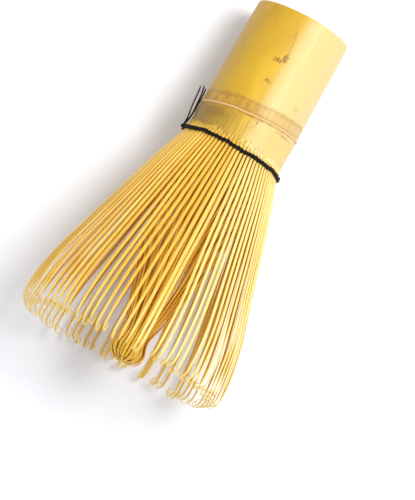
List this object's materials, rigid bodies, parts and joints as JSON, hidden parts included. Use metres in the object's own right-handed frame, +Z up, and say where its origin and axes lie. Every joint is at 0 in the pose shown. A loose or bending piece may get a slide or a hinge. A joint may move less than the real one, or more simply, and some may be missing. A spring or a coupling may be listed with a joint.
{
  "type": "bamboo tea whisk",
  "caption": "Bamboo tea whisk lying on its side: hollow handle with a node, a flared fan of curled outer tines, an inner bundle, and a dark woven thread with loose tails.",
  "frame": {"origin": "middle of the footprint of the whole whisk, on the surface that it lies on", "axes": "+Z up; the whisk lies on its side along X with its handle towards +X and its tips towards -X, its axis rising 8.55 degrees to the tips; +Y is the side of the loose thread tails"},
  "size_m": [0.1136, 0.064, 0.0612],
  "materials": {
    "bamboo_skin": "natural bamboo skin, dried and lightly polished, semi-gloss",
    "bamboo_tine_outer": "split and shaved bamboo, satin, skin side out",
    "bamboo_tine_inner": "split and shaved bamboo, satin",
    "black_thread": "twisted black cotton thread"
  },
  "bodies": {
    "handle": {"bamboo_handle": "bamboo_skin", "binding_thread_upper": "black_thread", "binding_thread_lower": "black_thread", "inner_weaving_thread": "black_thread", "thread_knot": "black_thread", "thread_tail_long": "black_thread", "thread_tail_middle": "black_thread", "thread_tail_short": "black_thread"},
    "outer_fan_01": {"outer_tines_01": "bamboo_tine_outer"},
    "outer_fan_02": {"outer_tines_02": "bamboo_tine_outer"},
    "outer_fan_03": {"outer_tines_03": "bamboo_tine_outer"},
    "outer_fan_04": {"outer_tines_04": "bamboo_tine_outer"},
    "outer_fan_05": {"outer_tines_05": "bamboo_tine_outer"},
    "outer_fan_06": {"outer_tines_06": "bamboo_tine_outer"},
    "outer_fan_07": {"outer_tines_07": "bamboo_tine_outer"},
    "outer_fan_08": {"outer_tines_08": "bamboo_tine_outer"},
    "outer_fan_09": {"outer_tines_09": "bamboo_tine_outer"},
    "outer_fan_10": {"outer_tines_10": "bamboo_tine_outer"},
    "outer_fan_11": {"outer_tines_11": "bamboo_tine_outer"},
    "outer_fan_12": {"outer_tines_12": "bamboo_tine_outer"},
    "outer_fan_13": {"outer_tines_13": "bamboo_tine_outer"},
    "outer_fan_14": {"outer_tines_14": "bamboo_tine_outer"},
    "outer_fan_15": {"outer_tines_15": "bamboo_tine_outer"},
    "outer_fan_16": {"outer_tines_16": "bamboo_tine_outer"},
    "inner_bundle": {"inner_tines_01": "bamboo_tine_inner", "inner_tines_02": "bamboo_tine_inner", "inner_tines_03": "bamboo_tine_inner", "inner_tines_04": "bamboo_tine_inner", "inner_tines_05": "bamboo_tine_inner", "inner_tines_06": "bamboo_tine_inner", "inner_tines_07": "bamboo_tine_inner", "inner_tines_08": "bamboo_tine_inner", "inner_tines_09": "bamboo_tine_inner", "inner_tines_10": "bamboo_tine_inner", "inner_tines_11": "bamboo_tine_inner", "inner_tines_12": "bamboo_tine_inner", "inner_tines_13": "bamboo_tine_inner", "inner_tines_14": "bamboo_tine_inner", "inner_tines_15": "bamboo_tine_inner", "inner_tines_16": "bamboo_tine_inner"}
  },
  "joints": [
    {"name": "outer_01_flex", "type": "hinge", "parent": "handle", "child": "outer_fan_01", "pos_m": [0.01435, -0.00029, 0.03501], "axis": [0.0029, 0.9998, 0.0194], "range_deg": [-3.2, 5], "stiffness_Nm_per_rad": 0.1},
    {"name": "outer_02_flex", "type": "hinge", "parent": "handle", "child": "outer_fan_02", "pos_m": [0.01417, -0.00589, 0.0338], "axis": [0.0596, 0.9162, 0.3963], "range_deg": [-3.2, 5], "stiffness_Nm_per_rad": 0.1},
    {"name": "outer_03_flex", "type": "hinge", "parent": "handle", "child": "outer_fan_03", "pos_m": [0.01368, -0.0106, 0.03055], "axis": [0.1072, 0.6931, 0.7128], "range_deg": [-3.2, 5], "stiffness_Nm_per_rad": 0.1},
    {"name": "outer_04_flex", "type": "hinge", "parent": "handle", "child": "outer_fan_04", "pos_m": [0.01296, -0.01369, 0.02578], "axis": [0.1384, 0.3645, 0.9209], "range_deg": [-3.2, 5], "stiffness_Nm_per_rad": 0.1},
    {"name": "outer_05_flex", "type": "hinge", "parent": "handle", "child": "outer_fan_05", "pos_m": [0.01212, -0.0147, 0.02019], "axis": [0.1486, -0.0196, 0.9887], "range_deg": [-3.2, 5], "stiffness_Nm_per_rad": 0.1},
    {"name": "outer_06_flex", "type": "hinge", "parent": "handle", "child": "outer_fan_06", "pos_m": [0.01129, -0.01347, 0.01465], "axis": [0.1362, -0.4007, 0.906], "range_deg": [-3.2, 5], "stiffness_Nm_per_rad": 0.1},
    {"name": "outer_07_flex", "type": "hinge", "parent": "handle", "child": "outer_fan_07", "pos_m": [0.01059, -0.01019, 0.01], "axis": [0.103, -0.7209, 0.6854], "range_deg": [-3.2, 5], "stiffness_Nm_per_rad": 0.1},
    {"name": "outer_08_flex", "type": "hinge", "parent": "handle", "child": "outer_fan_08", "pos_m": [0.01013, -0.00536, 0.00694], "axis": [0.0542, -0.9312, 0.3604], "range_deg": [-3.2, 5], "stiffness_Nm_per_rad": 0.1},
    {"name": "outer_09_flex", "type": "hinge", "parent": "handle", "child": "outer_fan_09", "pos_m": [0.00998, 0.00029, 0.00594], "axis": [-0.0029, -0.9998, -0.0194], "range_deg": [-3.2, 5], "stiffness_Nm_per_rad": 0.1},
    {"name": "outer_10_flex", "type": "hinge", "parent": "handle", "child": "outer_fan_10", "pos_m": [0.01016, 0.00589, 0.00716], "axis": [-0.0596, -0.9162, -0.3963], "range_deg": [-3.2, 5], "stiffness_Nm_per_rad": 0.1},
    {"name": "outer_11_flex", "type": "hinge", "parent": "handle", "child": "outer_fan_11", "pos_m": [0.01065, 0.0106, 0.0104], "axis": [-0.1072, -0.6931, -0.7128], "range_deg": [-3.2, 5], "stiffness_Nm_per_rad": 0.1},
    {"name": "outer_12_flex", "type": "hinge", "parent": "handle", "child": "outer_fan_12", "pos_m": [0.01137, 0.01369, 0.01518], "axis": [-0.1384, -0.3645, -0.9209], "range_deg": [-3.2, 5], "stiffness_Nm_per_rad": 0.1},
    {"name": "outer_13_flex", "type": "hinge", "parent": "handle", "child": "outer_fan_13", "pos_m": [0.01221, 0.0147, 0.02076], "axis": [-0.1486, 0.0196, -0.9887], "range_deg": [-3.2, 5], "stiffness_Nm_per_rad": 0.1},
    {"name": "outer_14_flex", "type": "hinge", "parent": "handle", "child": "outer_fan_14", "pos_m": [0.01304, 0.01347, 0.0263], "axis": [-0.1362, 0.4007, -0.906], "range_deg": [-3.2, 5], "stiffness_Nm_per_rad": 0.1},
    {"name": "outer_15_flex", "type": "hinge", "parent": "handle", "child": "outer_fan_15", "pos_m": [0.01374, 0.01019, 0.03096], "axis": [-0.103, 0.7209, -0.6854], "range_deg": [-3.2, 5], "stiffness_Nm_per_rad": 0.1},
    {"name": "outer_16_flex", "type": "hinge", "parent": "handle", "child": "outer_fan_16", "pos_m": [0.0142, 0.00536, 0.03402], "axis": [-0.0542, 0.9312, -0.3604], "range_deg": [-3.2, 5], "stiffness_Nm_per_rad": 0.1},
    {"name": "inner_bundle_sway", "type": "hinge", "parent": "handle", "child": "inner_bundle", "pos_m": [0.01217, 0, 0.02048], "axis": [0.1487, 0, 0.9889], "range_deg": [-3, 3], "stiffness_Nm_per_rad": 0.25}
  ]
}
